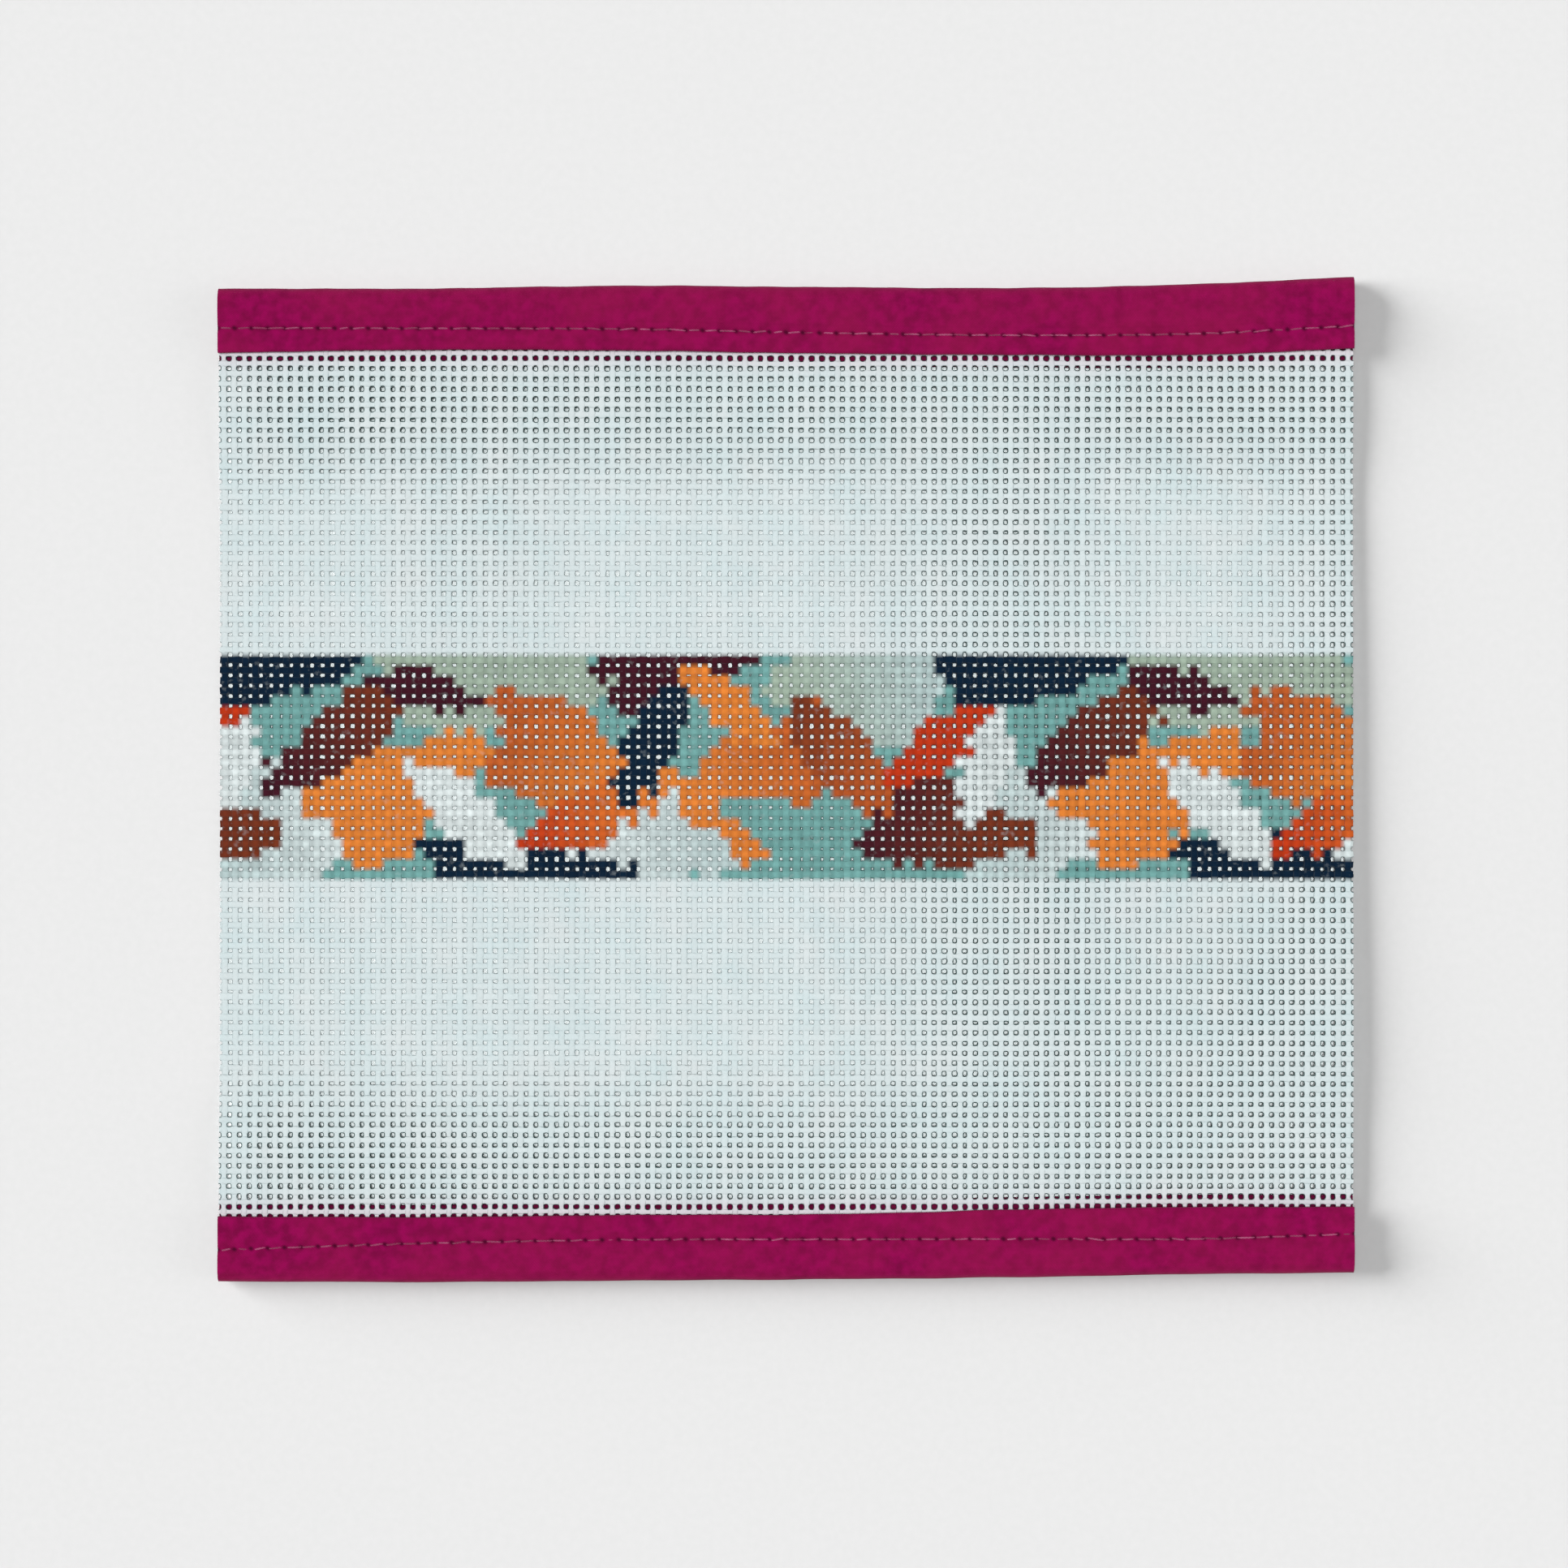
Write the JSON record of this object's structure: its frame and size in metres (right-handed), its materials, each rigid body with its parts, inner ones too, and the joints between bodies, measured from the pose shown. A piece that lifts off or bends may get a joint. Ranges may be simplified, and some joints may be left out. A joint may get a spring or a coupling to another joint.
{
  "type": "needlepoint canvas panel",
  "caption": "Open-weave 18-count cotton needlepoint canvas with a painted middle band and a folded cotton binding stitched on both long edges.",
  "frame": {"origin": "on the surface that the panel lies on, under the middle of its outline", "axes": "+X along the bound edges to the picture's right, +Y towards the picture's top edge, +Z out of the painted face"},
  "size_m": [0.1566, 0.1388, 0.0036],
  "materials": {
    "canvas_cotton": "stiff sized cotton open weave, matte, with a painted middle band",
    "binding_cotton": "smooth magenta cotton tape, matte"
  },
  "bodies": {
    "root": {"canvas": "canvas_cotton", "binding_top": "binding_cotton", "binding_bottom": "binding_cotton"}
  },
  "joints": []
}
